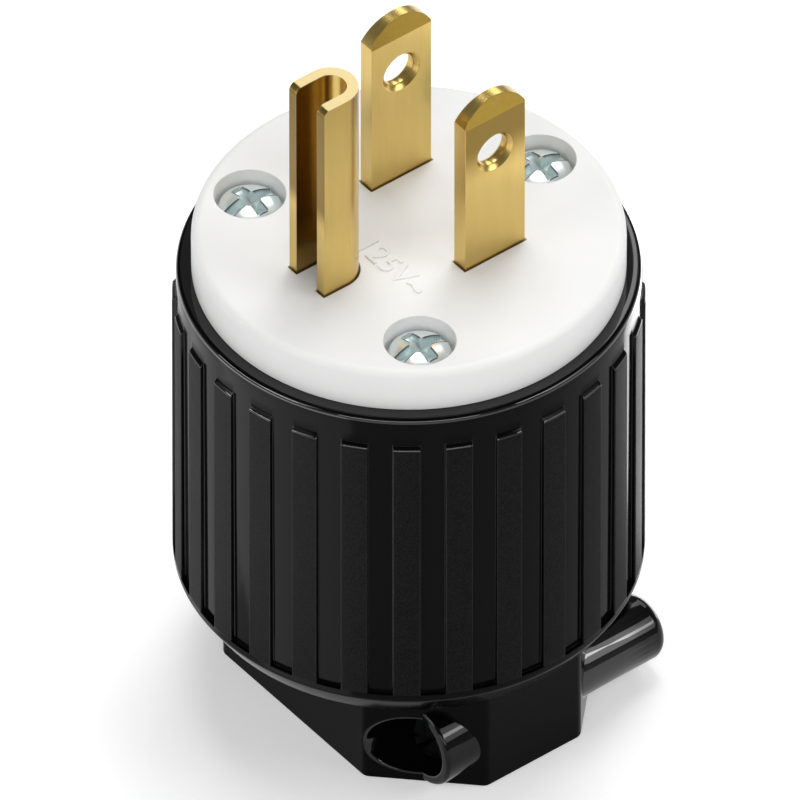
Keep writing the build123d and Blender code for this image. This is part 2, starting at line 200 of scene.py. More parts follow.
class Finish:
    """A material with its Principled shader, and one method that adds any other node."""

    def __init__(self, name, **constants):
        self.material = bpy.data.materials.new(name)
        self.material.use_nodes = True
        self.tree = self.material.node_tree
        self.shader = self.tree.nodes["Principled BSDF"]
        for socket, value in constants.items():
            self.shader.inputs[socket.replace("_", " ")].default_value = value

    def node(self, kind, settings, sockets, output=0):
        """Adds a node: its settings are set first, then its sockets' values and links."""
        made = self.tree.nodes.new(kind)
        for setting, value in settings.items():
            setattr(made, setting, value)
        for socket, value in sockets.items():
            if isinstance(value, Value):
                self.tree.links.new(value.socket, made.inputs[socket])
            else:
                made.inputs[socket].default_value = value
        return Value(self, made.outputs[output])

    def math(self, operation, *values):
        """A Math node on values and numbers, in the order of its sockets."""
        return self.node("ShaderNodeMath", {"operation": operation}, dict(enumerate(values)))

    def feed(self, socket, value):
        """Links a value to one of the Principled shader's sockets."""
        self.tree.links.new(value.socket, self.shader.inputs[socket])

    def place(self):
        """The surface point in the frame, in millimetres, as a vector."""
        point = self.node("ShaderNodeTexCoord", {}, {}, "Object")
        return self.node(
            "ShaderNodeVectorMath", {"operation": "SCALE"}, {0: point, "Scale": 1 / MM}
        )

    def axes(self, point):
        """A vector's three components as values."""
        split = self.node("ShaderNodeSeparateXYZ", {}, {0: point}).socket.node
        return [Value(self, socket) for socket in split.outputs]

    def stretched(self, point, scale):
        """A vector with each component multiplied by its own factor."""
        return self.node(
            "ShaderNodeVectorMath", {"operation": "MULTIPLY"}, {0: point, 1: scale}
        )

    def noise(self, point, scale, detail=2.0, roughness=0.5):
        """Noise from 0 to 1 with scale features to a millimetre."""
        return self.node(
            "ShaderNodeTexNoise",
            {},
            {"Vector": point, "Scale": scale, "Detail": detail, "Roughness": roughness},
        )

    def mark(self, name):
        """A value that the mesh carries at its points, 0 where it has none."""
        return self.node("ShaderNodeAttribute", {"attribute_name": name}, {}, "Fac")

    def blend(self, share, low, high):
        """A colour between two colours."""
        return self.node(
            "ShaderNodeMix",
            {"data_type": "RGBA", "clamp_factor": True},
            {"Factor": share, 6: low, 7: high},
            2,
        )

    def bump(self, height, distance):
        """Feeds the normal from a height that is distance millimetres at 1."""
        self.feed("Normal", self.node(
            "ShaderNodeBump", {}, {"Height": height, "Distance": distance * MM}
        ))


def colour(red, green, blue):
    """An opaque linear colour."""
    return (red, green, blue, 1.0)


# Finishes

def white_nylon():
    """Satin white moulding with a faint mottle."""
    finish = Finish("white_nylon", IOR=1.5, Specular_IOR_Level=0.4)
    point = finish.place()
    cloud = finish.noise(point, 0.35, 3)
    finish.feed("Base Color", finish.blend(
        cloud, colour(0.835, 0.838, 0.832), colour(0.86, 0.862, 0.855)
    ))
    grain = finish.noise(point, 5.0, 3, 0.6)
    finish.feed("Roughness", 0.42 + grain * 0.12)
    finish.bump(grain, 0.006)
    return finish.material


# Where the black moulding changes, in millimetres. Two numbers are the ends of a smooth
# step, four the ends of a band's rise and of its fall.
rib_face_radii = (19.75, 19.83)             # the ribs stand out past this, the grooves do not
rib_face_heights = (13.65, 13.8, 41.5, 41.7)
rib_edge_heights = (13.6, 13.7, 41.9, 41.95)
rib_shoulder = 41.5                         # a rib's face meets its sloping head here
shoulder_radii = (19.75, 19.8)
edge_distances = (0.05, 0.1)                # how far the polish reaches from an edge
rim_radii = (17.6, 17.8)
rim_top_depths = (0.004, 0.012)             # the rim's level top
rim_line_depths = (0.12, 0.17, 0.42, 0.5)   # a line on the rim's outer round
tube_heights = (8.2, 8.4)
neck_slant = 22.15                          # |x| + |y| on the neck's slanted faces
tube_distances = (0.02, 0.06)               # how far the tubes stand out of those faces
mouth_lip_radii = (3.0, 3.05, 3.2, 3.25)
rib_edge_polish = 0.14                      # shares of the rim's full coat
tube_polish = 0.33
mouth_lip_polish = 0.7


def black_nylon():
    """Glossy black moulding; the ribs' outer faces are matte with a fine spark grain.

    The rim, the screw tubes with their mouths' lips, and the ribs' edges are polished,
    which a clear coat shows.
    """
    finish = Finish("black_nylon", Specular_IOR_Level=0.04)
    point = finish.place()
    x, y, z = finish.axes(point)
    radius = (x * x + y * y).root()
    on_rib = radius.step(*rib_face_radii) * z.band(*rib_face_heights)
    turns = finish.math("ARCTAN2", y, x) * (rib_count / (2 * pi))
    from_rib = abs(finish.math("FRACT", turns + (rib_count + 0.5)) - 0.5)
    across = from_rib * (2 * pi * rib_head_radius / rib_count)
    rib_edge = (
        (1 - abs(across - rib_half_width).step(*edge_distances)) * z.band(*rib_edge_heights)
    )
    head_edge = (
        (1 - abs(z - rib_shoulder).step(*edge_distances)) * radius.step(*shoulder_radii)
    )
    under_rim = rim_z / MM - z
    rim = radius.step(*rim_radii) * (
        (1 - under_rim.step(*rim_top_depths)) + under_rim.band(*rim_line_depths)
    )
    at_tubes = 1 - z.step(*tube_heights)
    tubes = at_tubes * (abs(y) + abs(x) - neck_slant).step(*tube_distances)
    aside, above = abs(y) - mouth_spot[0], z - mouth_spot[1]
    mouth_lip = at_tubes * (aside * aside + above * above).root().band(*mouth_lip_radii)
    coat = rim + rib_edge * rib_edge_polish + head_edge
    coat = coat + tubes * tube_polish + mouth_lip * mouth_lip_polish
    finish.feed("Coat Weight", finish.math("MINIMUM", coat, 1.0))
    grain = finish.noise(point, 6.0, 3, 0.7)
    flow = finish.noise(finish.stretched(point, (1, 1, 0.35)), 0.4, 2)
    spark = finish.blend(
        grain.step(0.36, 0.64), colour(0.0022, 0.0022, 0.0023), colour(0.0085, 0.0085, 0.009)
    )
    finish.feed("Base Color", finish.blend(on_rib, colour(0.002, 0.002, 0.0021), spark))
    finish.feed("Roughness", 0.1 + flow * 0.05 + on_rib * (0.34 + grain * 0.1))
    finish.bump(grain * (on_rib * 0.9 + 0.04), 0.03)
    return finish.material


def grey_moulding():
    """Matte dark grey moulding of the inner pieces."""
    finish = Finish("grey_moulding")
    point = finish.place()
    grain = finish.noise(point, 2.5, 4, 0.6)
    finish.feed("Base Color", finish.blend(
        grain, colour(0.04, 0.04, 0.044), colour(0.062, 0.062, 0.068)
    ))
    finish.feed("Roughness", 0.5 + grain * 0.15)
    finish.bump(grain, 0.02)
    return finish.material


# Where the brass strip changes, in millimetres, as steps and bands
pin_to_blades = (-2, -1)                    # on X, between the ground pin and the blades
coined_heights = (coin_start - 0.03, coin_start + 0.03)
coined_depths = (blade_half_thickness - 0.07, blade_half_thickness - 0.03)
outer_face_reach = (7.05, 7.09)             # on Y, just under a blade's outer face
outer_face_width = (0.44, 0.49, 6.71, 6.76)
outer_face_heights = (57.4, 62)             # painted shade darkens a face over these heights
pin_edge_heights = (55.8, 58.4)
pin_edge_depths = (pin_back + 0.03, pin_back + 0.08)
pin_side_heights = (58, 70.5)
pin_side_reach = (1.5, 1.7)
pin_top_heights = (pin_end - 0.08, pin_end - 0.03)
hollow_length = (pin_spot - 0.1, pin_spot + 0.6)
hollow_width = (1.36, 1.42)
hollow_heights = (face_z / MM, face_z / MM + 0.1)
pin_side_shade = 0.5                             # how much painted shade darkens the bright brass at each place
face_shade = 0.85
hollow_shade = 0.85


def rolled_brass():
    """Brass strip, faintly brushed along the blades; the coined tips are matte.

    Painted shade darkens the blades' outer faces towards their tips, the pin's legs
    towards their tops and the legs' open edges.
    """
    finish = Finish("rolled_brass", Metallic=1.0)
    point = finish.place()
    x, y, z = finish.axes(point)
    on_blade = x.step(*pin_to_blades)
    on_pin = 1 - on_blade
    from_middle = abs(abs(y) - blade_aside)
    thinned = (z - coin_start) * coin_slope
    coined = (
        on_blade * z.step(*coined_heights) * (from_middle + thinned).step(*coined_depths)
    )
    outer_face = on_blade * abs(y).step(*outer_face_reach) * x.band(*outer_face_width)
    pin_top = on_pin * z.step(*pin_top_heights)
    pin_edge = on_pin * (1 - x.step(*pin_edge_depths)) * z.step(*pin_edge_heights)
    pin_side = on_pin * abs(y).step(*pin_side_reach) * z.step(*pin_side_heights)
    hollow = (
        (1 - x.step(*hollow_length))
        * (1 - abs(y).step(*hollow_width))
        * z.step(*hollow_heights)
    )
    # Painted shade on the blades' outer faces, darker higher up, and on the pin's open edges
    painted_shade_faces = outer_face * z.step(*outer_face_heights) + pin_edge
    fine = finish.noise(finish.stretched(point, (1, 1, 0.03)), 9.0, 3, 0.6)
    broad = finish.noise(finish.stretched(point, (1, 1, 0.12)), 1.1, 2)
    grain = finish.noise(point, 5.0, 2, 0.6)
    streak = fine * 0.45 + broad * 0.55
    brushed = finish.blend(streak, colour(0.57, 0.39, 0.115), colour(0.73, 0.54, 0.185))
    struck = finish.blend(grain, colour(0.27, 0.175, 0.022), colour(0.42, 0.28, 0.055))
    # Painted shade: the pin's legs darken towards their tops, and the blades' outer faces and the
    # pin's open edges darken too
    brass = finish.blend(pin_side * pin_side_shade, brushed, colour(0.1, 0.05, 0.0))
    brass = finish.blend(painted_shade_faces * face_shade, brass, colour(0.15, 0.09, 0.01))
    brass = finish.blend(coined, brass, struck)
    brass = finish.blend(hollow * hollow_shade, brass, colour(0.16, 0.07, 0.008))
    finish.feed("Base Color", finish.blend(pin_top, brass, colour(0.86, 0.7, 0.36)))
    finish.feed("Roughness", 0.2 + fine * 0.08 + coined * (0.1 + grain * 0.1) + pin_top * 0.12)
    finish.bump(fine * (1 - pin_top) + coined * grain, 0.005)
    return finish.material


def turned_brass():
    """Plain turned or stamped brass of the terminal hardware."""
    finish = Finish("turned_brass", Metallic=1.0)
    point = finish.place()
    cloud = finish.noise(point, 0.8, 3)
    finish.feed("Base Color", finish.blend(
        cloud, colour(0.52, 0.36, 0.13), colour(0.68, 0.49, 0.2)
    ))
    finish.feed("Roughness", 0.26 + cloud * 0.12)
    return finish.material


def zinc_plate():
    """Bright zinc plating with the faint blue and yellow of its passivation; painted shade
    makes a dark line round a head's recess and a darker blue-grey inside it."""
    finish = Finish("zinc_plate", Metallic=0.65)
    point = finish.place()
    cloud = finish.noise(point, 0.9, 3)
    tint = finish.noise(point, 0.55, 2)
    outline = finish.mark("painted_recess_shadow_line")
    inside = finish.mark("painted_recess_shade")
    cool = finish.blend(cloud, colour(0.68, 0.78, 0.78), colour(0.86, 0.9, 0.89))
    plate = finish.blend(tint.step(0.52, 0.72), cool, colour(0.88, 0.83, 0.78))
    # Painted shade: the recess's inside turns darker blue-grey and its upper edge gets a dark
    # line
    shaded = finish.blend(inside * 0.6, plate, colour(0.62, 0.75, 0.76))
    finish.feed("Base Color", finish.blend(outline, shaded, colour(0.03, 0.045, 0.045)))
    finish.feed("Roughness", 0.27 + cloud * 0.06)
    return finish.material


def green_screw():
    """Green dyed screw of the ground terminal."""
    finish = Finish("green_screw", Metallic=0.6)
    point = finish.place()
    cloud = finish.noise(point, 1.0, 3)
    finish.feed("Base Color", finish.blend(
        cloud, colour(0.03, 0.22, 0.08), colour(0.05, 0.32, 0.13)
    ))
    finish.feed("Roughness", 0.3 + cloud * 0.12)
    return finish.material


finishes = {
    "white_nylon": white_nylon(),
    "black_nylon": black_nylon(),
    "grey_moulding": grey_moulding(),
    "brass": rolled_brass(),
    "brass_screw": turned_brass(),
    "zinc_plate": zinc_plate(),
    "green_screw": green_screw(),
}
node_slots = {part["node"]: part["material_slot"] for part in frame["record"]["subparts"]}


# Meshes

def add_piece(mesh, name, slot, *replaced):
    """Makes an object of a mesh, gives it a finish, and lets it stand for CAD nodes."""
    piece = bpy.data.objects.new(name, mesh)
    scene.collection.objects.link(piece)
    mesh.materials.clear()
    mesh.materials.append(finishes[slot])
    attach(piece, "root")
    if replaced:
        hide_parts(*replaced)
    return piece


def points_of(mesh):
    """A mesh's points in metres, as rows of x, y and z."""
    corners = np.empty(len(mesh.vertices) * 3, np.float32)
    mesh.vertices.foreach_get("co", corners)
    return corners.reshape(-1, 3)


def merge_points(mesh, distance, flatten=False):
    """Joins points within a distance in millimetres; flatten also makes flat faces whole."""
    work = bmesh.new()
    work.from_mesh(mesh)
    bmesh.ops.remove_doubles(work, verts=work.verts, dist=distance * MM)
    if flatten:
        bmesh.ops.dissolve_limit(
            work, angle_limit=radians(0.05), verts=work.verts, edges=work.edges
        )
    work.to_mesh(mesh)
    work.free()


def grid_mesh(name, points, close_rows=False, poles=False):
    """A surface through a grid of points in millimetres, closed round its columns.

    points has the shape (rows, columns, 3). Quads join each row to the next and the
    last column to the first; close_rows also joins the last row to the first, and
    poles makes the first and the last row one point each, closed by triangles.
    """
    rows, columns = points.shape[:2]
    column = np.arange(columns)
    following = (column + 1) % columns
    first = np.arange(rows if close_rows else rows - 1)
    here = first[:, None] * columns
    there = (first[:, None] + 1) % rows * columns
    quads = np.stack(
        [here + column, here + following, there + following, there + column], axis=-1
    ).reshape(-1, 4)
    mesh = bpy.data.meshes.new(name)
    mesh.from_pydata(points.reshape(-1, 3) * MM, [], quads)
    if poles:
        merge_points(mesh, 1e-4)
    mesh.shade_smooth()
    return mesh


def arc(centre, radius, start, end, count):
    """Points (r, z) on an arc about a centre, its angles in degrees from the r axis."""
    angles = np.radians(np.linspace(start, end, count))
    return np.stack(
        [centre[0] + radius * np.cos(angles), centre[1] + radius * np.sin(angles)], axis=-1
    )


def lathe(profile, columns):
    """The profile's points (r, z) turned about the Z axis: rows along it, columns round it."""
    turn = np.linspace(0, 2 * pi, columns, endpoint=False)
    r, z = profile[:, :1], profile[:, 1:]
    return np.stack([r * np.cos(turn), r * np.sin(turn), z + 0 * turn], axis=-1)


def prism(name, outline, low, high, axis):
    """A closed block: an outline in millimetres, pushed along one axis from low to high.

    The outline's two coordinates follow the axis in the order X, Y, Z, X.
    """
    after = np.roll(outline, -1, axis=0)
    if np.sum(outline[:, 0] * after[:, 1] - after[:, 0] * outline[:, 1]) < 0:
        outline = outline[::-1]
    count = len(outline)
    points = np.empty((2, count, 3))
    points[:, :, axis] = np.array([[low], [high]])
    points[:, :, (axis + 1) % 3] = outline[:, 0]
    points[:, :, (axis + 2) % 3] = outline[:, 1]
    here = np.arange(count)
    following = (here + 1) % count
    sides = np.stack([here, following, following + count, here + count], axis=-1).tolist()
    mesh = bpy.data.meshes.new(name)
    mesh.from_pydata(
        points.reshape(-1, 3) * MM, [], sides + [here[::-1].tolist(), (here + count).tolist()]
    )
    return mesh


def across_y(profile, columns, spot):
    """A lathed surface with its axis along Y through a spot (x, y, z)."""
    turned = lathe(profile, columns)
    return np.stack([turned[..., 0], turned[..., 2], -turned[..., 1]], axis=-1) + spot


def joined_mesh(node, name):
    """A CAD node's surface with its loose triangles joined and flat faces made whole."""
    source = nodes[node].data
    triangles = np.empty(len(source.loops), np.int32)
    source.loops.foreach_get("vertex_index", triangles)
    mesh = bpy.data.meshes.new(name)
    mesh.from_pydata(points_of(source), [], triangles.reshape(-1, 3))
    merge_points(mesh, 0.001, flatten=True)
    return mesh


def edges_within(mesh, chosen):
    """Which edges have both their ends picked by a test of points in millimetres."""
    ends = np.empty(len(mesh.edges) * 2, np.int32)
    mesh.edges.foreach_get("vertices", ends)
    return chosen(points_of(mesh) / MM)[ends].reshape(-1, 2).all(axis=1)


def weigh_edges(piece, chosen):
    """Gives the edges that a test picks a bevel weight of 1."""
    weights = piece.data.attributes.new("bevel_weight_edge", "FLOAT", "EDGE")
    weights.data.foreach_set("value", edges_within(piece.data, chosen).astype(np.float32))


def add_modifier(piece, kind, **settings):
    """Adds a modifier with its settings."""
    modifier = piece.modifiers.new(kind.lower(), kind)
    for setting, value in settings.items():
        setattr(modifier, setting, value)


def finished_mesh(thing):
    """A new mesh of what an object's modifiers, or a text's own outline, make of it."""
    evaluated = thing.evaluated_get(bpy.context.evaluated_depsgraph_get())
    return bpy.data.meshes.new_from_object(evaluated)


def settle(piece):
    """Replaces a piece's mesh by what its modifiers make of it."""
    finished = finished_mesh(piece)
    piece.modifiers.clear()
    piece.data = finished


def combine(piece, mesh, operation):
    """Cuts a closed mesh out of a piece, or keeps only what lies in it."""
    cutter = bpy.data.objects.new("cutter", mesh)
    scene.collection.objects.link(cutter)
    add_modifier(piece, "BOOLEAN", operation=operation, object=cutter, solver="EXACT")
    settle(piece)
    bpy.data.objects.remove(cutter)


def soften(piece, width):
    """Rounds a piece's sharp edges by width millimetres."""
    add_modifier(
        piece, "BEVEL", width=width * MM, segments=2, limit_method="ANGLE",
        angle_limit=radians(38), use_clamp_overlap=True,
    )


def shade(piece, sharp_angle, crease=None):
    """Smooth shading that keeps flat faces flat and edges past an angle sharp, and also
    the edges that crease picks."""
    settle(piece)
    mesh = piece.data
    mesh.shade_smooth()
    mesh.set_sharp_from_angle(angle=radians(sharp_angle))
    if crease:
        marks = np.empty(len(mesh.edges), bool)
        sharp = mesh.attributes["sharp_edge"].data
        sharp.foreach_get("value", marks)
        sharp.foreach_set("value", marks | edges_within(mesh, crease))
    add_modifier(piece, "WEIGHTED_NORMAL", keep_sharp=True, weight=60)
    settle(piece)


# Housing

def rib_columns():
    """One rib and half a groove on each side, as columns from one groove's middle to the next.

    Each column has its distance from the rib's middle plane, whether it is on the
    rib (1) or in the groove (0), and how far its edge rounding lies off that face.
    """
    groove_half = pi / rib_count * groove_radius
    ease = np.radians([0, 30, 60, 90])
    top = np.stack([
        rib_half_width - edge_round + edge_round * np.sin(ease),
        np.ones(4),
        -edge_round * (1 - np.cos(ease)),
    ], axis=-1)
    foot = np.stack([
        rib_half_width + edge_round * (1 - np.cos(ease)),
        np.zeros(4),
        edge_round * (1 - np.sin(ease)),
    ], axis=-1)
    flat = np.zeros((5, 3)) + (0, 1, 0)
    flat[:, 0] = np.linspace(0, rib_half_width - edge_round, 6)[:-1]
    groove = np.zeros((5, 3))
    groove[:, 0] = np.linspace(rib_half_width + edge_round, groove_half, 6)[1:]
    half = np.concatenate([flat, top, foot, groove])
    mirrored = half[1:-1][::-1] * (-1, 1, 1)
    return np.concatenate([mirrored, half])


def barrel_rows():
    """The barrel's section, once through a groove and once through a rib, row by row.

    Rows run from the hidden seam under the barrel, out round the foot, up the wall and
    in over the rim to the seam again. Columns: groove r and z, rib r and z, and how
    much of the ribs' edge rounding the row has.
    """
    outer = rib_foot_radius
    slope = np.arctan2(foot_height, foot_inset)
    foot_cut = foot_round * np.tan(slope / 2)
    bend_cut = foot_bend_round * np.tan((pi / 2 - slope) / 2)
    lean = np.degrees(slope) - 90
    foot = arc(
        (outer - foot_inset - foot_cut, barrel_foot + foot_round), foot_round, -90, lean, 7
    )
    bend = arc(
        (outer - foot_bend_round, barrel_foot + foot_height + bend_cut),
        foot_bend_round, lean, 0, 9,
    )
    shelf_out = arc((outer - edge_round, band_top - edge_round), edge_round, 0, 90, 4)
    shelf_in = arc((groove_radius + edge_round, band_top + edge_round), edge_round, 270, 180, 4)
    shelf = np.concatenate([shelf_out, shelf_in])
    shelf_z = np.linspace(band_top - edge_round, band_top + edge_round, 8)
    head_low = rib_head - rib_chamfer
    wall = np.linspace(band_top + 0.4, head_low - 0.4, 9)
    rim = arc((groove_radius - rim_round, rim_z / MM - rim_round), rim_round, 0, 90, 9)

    # A rib's sloping head, with a small round where it starts and where it ends
    head = np.array([head_low - edge_round, head_low - 0.02, head_low + 0.04])
    head_rib = np.array([rib_head_radius, rib_head_radius - 0.015, rib_head_radius - 0.06])
    end = np.array([rib_head - 0.06, rib_head, rib_head + 0.08])
    end_rib = np.array([groove_radius + 0.07, groove_radius + 0.025, groove_radius])

    # Pairs of rows that hold the shading level: under the barrel, below the ribs, above
    # them and on top of the rim
    under = np.array([[seam_radius, barrel_foot], [seam_radius + 0.3, barrel_foot]])
    below = np.array([[outer, 13.3], [outer, 13.5]])
    above = np.array([[groove_radius, 42.8], [groove_radius, 43.6]])
    over = np.array([[rim_flat_radius, rim_z / MM], [seam_radius, rim_z / MM]])

    def rib_radius(z):
        share = (z - band_top) / (head_low - band_top)
        return rib_foot_radius + (rib_head_radius - rib_foot_radius) * share

    def same(points):
        return np.column_stack([points, points, np.zeros(len(points))])

    parts = [
        same(under),
        same(foot),
        same(bend),
        same(below),
        np.column_stack([
            shelf, rib_radius(np.maximum(shelf_z, band_top)), shelf_z, np.linspace(0, 1, 8)
        ]),
        np.column_stack([np.full(9, groove_radius), wall, rib_radius(wall), wall, np.ones(9)]),
        np.column_stack([np.full(3, groove_radius), head, head_rib, head, np.ones(3)]),
        np.column_stack([np.full(3, groove_radius), end, end_rib, end, (0.3, 0.1, 0)]),
        same(above),
        same(rim),
        same(over),
    ]
    return np.concatenate(parts)


def make_barrel():
    """The ribbed barrel: its radius and height are a function of the section row and of
    the place across a rib, and the rib's columns are repeated round the axis."""
    rows = barrel_rows()
    across = rib_columns()
    groove_r, groove_z, rib_r, rib_z, rounding = rows.T[:, :, None]
    offset, on_rib, delta = across.T[:, None, :]
    radius = groove_r + (rib_r - groove_r) * on_rib + delta * rounding
    offset = offset * np.minimum(1, radius / groove_radius)
    height = groove_z + (rib_z - groove_z) * on_rib
    along = np.sqrt(radius**2 - offset**2)
    turns = 2 * pi * np.arange(rib_count) / rib_count
    c, t = np.cos(turns)[:, None, None], np.sin(turns)[:, None, None]
    x = along * c - offset * t
    y = along * t + offset * c
    z = np.broadcast_to(height, x.shape)
    points = np.stack([x, y, z], axis=-1).transpose(1, 0, 2, 3).reshape(len(rows), -1, 3)
    mesh = grid_mesh("housing_barrel", points, close_rows=True)
    piece = add_piece(mesh, "housing_barrel", "black_nylon", "rear_housing")
    shade(piece, sharp_angle=50)
    return piece


def on_mouth_rim(points):
    """Which points lie where a clamp screw's bore comes out of the neck."""
    x, y, z = points.T
    away = np.hypot(np.abs(y) - mouth_spot[0], z - mouth_spot[1])
    return (np.abs(away - mouth_radius) < 0.03) & (x < mouth_depth)


def make_core():
    """Neck, screw tubes, floor and bosses: the housing's own form inside the barrel's seam.

    A lathed envelope takes away what the barrel stands for, and the mouths of the clamp
    screws' bores get a rounded edge.
    """
    piece = add_piece(
        joined_mesh("rear_housing", "housing_core"), "housing_core", "black_nylon", "rear_housing"
    )
    split = barrel_foot - 0.1
    outside, bottom, top = 30, -5, 60
    envelope = np.array([
        [0, bottom], [outside, bottom], [outside, split], [seam_radius, split],
        [seam_radius, top], [0, top],
    ])
    combine(piece, grid_mesh("envelope", lathe(envelope, 224), poles=True), "INTERSECT")
    weigh_edges(piece, on_mouth_rim)
    add_modifier(
        piece, "BEVEL", width=mouth_edge * MM, segments=2, limit_method="WEIGHT",
        use_clamp_overlap=False,
    )
    shade(piece, sharp_angle=34)
    return piece


housing = [make_barrel(), make_core()]


# Face and blades

def finish_node(node, slot, width, sharp_angle):
    """A CAD node's own form with the small rounded edges of a real moulding or blank."""
    piece = add_piece(joined_mesh(node, f"{node}_finished"), f"{node}_finished", slot, node)
    soften(piece, width)
    shade(piece, sharp_angle)


def blade_outline():
    """Points (z, x) round a blade: its tail, its straight sides and the arc of its tip."""
    rise = blade_tip - blade_edge
    radius = (blade_half_width**2 + rise**2) / (2 * rise)
    reach = np.arcsin(blade_half_width / radius)
    turn = np.linspace(-reach, reach, 61)
    tip = np.stack([blade_tip - radius + radius * np.cos(turn), radius * np.sin(turn)], axis=-1)
    bottom, top = tail_span
    tail = np.array([
        [top, blade_half_width], [top, tail_half_width], [bottom, tail_half_width],
        [bottom, -tail_half_width], [top, -tail_half_width], [top, -blade_half_width],
    ])
    return np.concatenate([tip, tail]) + (0, blade_middle)


def on_coin_start(points):
    """Which points lie on the line where a blade's flat face meets its coined slope."""
    return np.abs(points[:, 2] - coin_start) < 0.01


def make_blade(name, y):
    """A blade: its outline pushed through the strip's thickness, thinned by two slopes
    towards the tip, with a countersunk hole and the terminal screw's hole."""
    half = blade_half_thickness
    mesh = prism(f"{name}_finished", blade_outline(), y - half, y + half, 1)
    piece = add_piece(mesh, f"{name}_finished", "brass", name)
    bottom, top = 20, 70
    left, right = -5, 15
    spare = 0.1
    taper = np.array([
        [y - half - spare, bottom], [y + half + spare, bottom],
        [y + half + spare, coin_start - 0.02], [y + half, coin_start],
        [y + blade_tip_half, blade_tip], [y + blade_tip_half, top],
        [y - blade_tip_half, top], [y - blade_tip_half, blade_tip],
        [y - half, coin_start], [y - half - spare, coin_start - 0.02],
    ])
    combine(piece, prism("taper", taper, left, right, 0), "INTERSECT")
    height, radius, chamfer = blade_hole
    spare = 0.3
    wide = radius + chamfer + spare
    eye = np.array([
        [0, -half - spare], [wide, -half - spare], [radius, chamfer - half],
        [radius, half - chamfer], [wide, half + spare], [0, half + spare],
    ])
    cutter = grid_mesh("eye", across_y(eye, 96, (blade_middle, y, height)), poles=True)
    combine(piece, cutter, "DIFFERENCE")
    height, radius = tail_hole
    bore = np.array([[0, -2], [radius, -2], [radius, 2], [0, 2]])
    cutter = grid_mesh("bore", across_y(bore, 64, (blade_middle, y, height)), poles=True)
    combine(piece, cutter, "DIFFERENCE")
    soften(piece, width=0.045)
    shade(piece, sharp_angle=20, crease=on_coin_start)


def letter_rating():
    """The plain rating between pin and blades, as letters that stand a little proud."""
    letters = bpy.data.curves.new("rating", "FONT")
    letters.body = "15A  125V~"
    letters.size = 3.05 * MM
    letters.extrude = 0.13 * MM
    letters.offset = -0.03 * MM
    letters.bevel_depth = 0.03 * MM
    letters.bevel_resolution = 1
    letters.resolution_u = 6
    letters.align_x = "CENTER"
    letters.align_y = "CENTER"
    holder = bpy.data.objects.new("rating", letters)
    scene.collection.objects.link(holder)
    mesh = finished_mesh(holder)
    bpy.data.objects.remove(holder)
    mesh.transform(
        Matrix.Translation(Vector((*rating_spot, face_z / MM)) * MM)
        @ Matrix.Rotation(-pi / 2, 4, "Z")
    )
    shade(add_piece(mesh, "rating_letters", "white_nylon"), sharp_angle=40)


finish_node("front_face", "white_nylon", width=0.09, sharp_angle=50)
letter_rating()
make_blade("hot_blade", blade_aside)
make_blade("neutral_blade", -blade_aside)
finish_node("ground_pin", "brass", width=0.06, sharp_angle=20)


# Face screws

head_radius = 2.6
head_rim = 1.05             # the height of the head's edge over its underside
head_dome = 0.85            # how much the middle stands over the edge
head_round = 0.1
slot_half_width = 0.44
slot_floor = 0.72           # over the head's underside
arm_half_width = 0.46
arm_reach = 1.82
arm_run = 2.0               # an arm's floor slopes up over this length
arm_depth = 1.45            # in the middle, over the depth at its end
arm_end_depth = 0.1
pit_depth = 1.8
pit_reach = 0.95
recess_wall = 0.04          # half the width over which a wall falls
# The painted shadow line round the recess
outline_width = 0.05
outline_offset = 0.07
outline_core = 1.6          # over 1, so that the middle of the line is wholly dark
screw_radius = 1.75
screw_length = 27.0
screw_point = 0.4
well_floor = 46.4
screw_spots = {
    name: (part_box(name)[0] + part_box(name)[1]) / 2 / MM
    for name in nodes if name.startswith("face_screw")
}


def ramp(value, low, high):
    """0 below low and 1 above high, smooth between."""
    share = np.clip((value - low) / (high - low), 0, 1)
    return share * share * (3 - 2 * share)


def recess_height(x, y, surface):
    """The head's height at a place on it, given its height before the recess is cut.

    A plain slot with a level floor runs along X through the head's edge. The cross has
    an arm along Y whose floor slopes up to its end, one along X over the slot, and a
    pit with four flat sides where they meet.
    """
    def cut(across, half_width, floor):
        side = 1 - ramp(np.abs(across), half_width - recess_wall, half_width + recess_wall)
        return surface - np.maximum(surface - floor, 0) * side

    def arm(along, across):
        depth = arm_depth * (1 - np.clip(np.abs(along) / arm_run, 0, 1)) + arm_end_depth
        depth = depth * (1 - ramp(np.abs(along), arm_reach - 0.1, arm_reach))
        return cut(across, arm_half_width, surface - depth)

    corner = np.maximum(np.abs(x + y), np.abs(x - y)) / np.sqrt(2)
    pit = surface - pit_depth * (1 - np.clip(corner / pit_reach, 0, 1))
    slot = cut(y, slot_half_width, slot_floor)
    return np.minimum.reduce([slot, arm(y, x), arm(x, y), pit])


def dome_height(away):
    """The head's height at a distance from its axis, before the recess is cut."""
    sphere = (head_radius**2 + head_dome**2) / (2 * head_dome)
    return head_rim + np.sqrt(sphere**2 - away**2) - (sphere - head_dome)


def recess_shade_marks(points):
    """Two marks of painted shade for points about the head: a thin dark line along the
    recess's upper edge, and the inside of the recess."""
    x, y = np.abs(points[:, 0]), np.abs(points[:, 1])
    depth = dome_height(np.minimum(np.hypot(x, y), head_radius)) - points[:, 2]

    def line(value, spot):
        return np.clip(outline_core - np.abs(value - spot - outline_offset) / outline_width, 0, 1)

    sides = np.maximum(
        line(y, slot_half_width) * (x > arm_half_width),
        line(x, arm_half_width) * (y > slot_half_width) * (y < arm_reach),
    )
    ends = line(y, arm_reach) * (x < arm_half_width)
    on_head = points[:, 2] > slot_floor - 0.1
    return np.maximum(sides, ends) * (depth < 0.1) * on_head, (depth > 0.06) * on_head


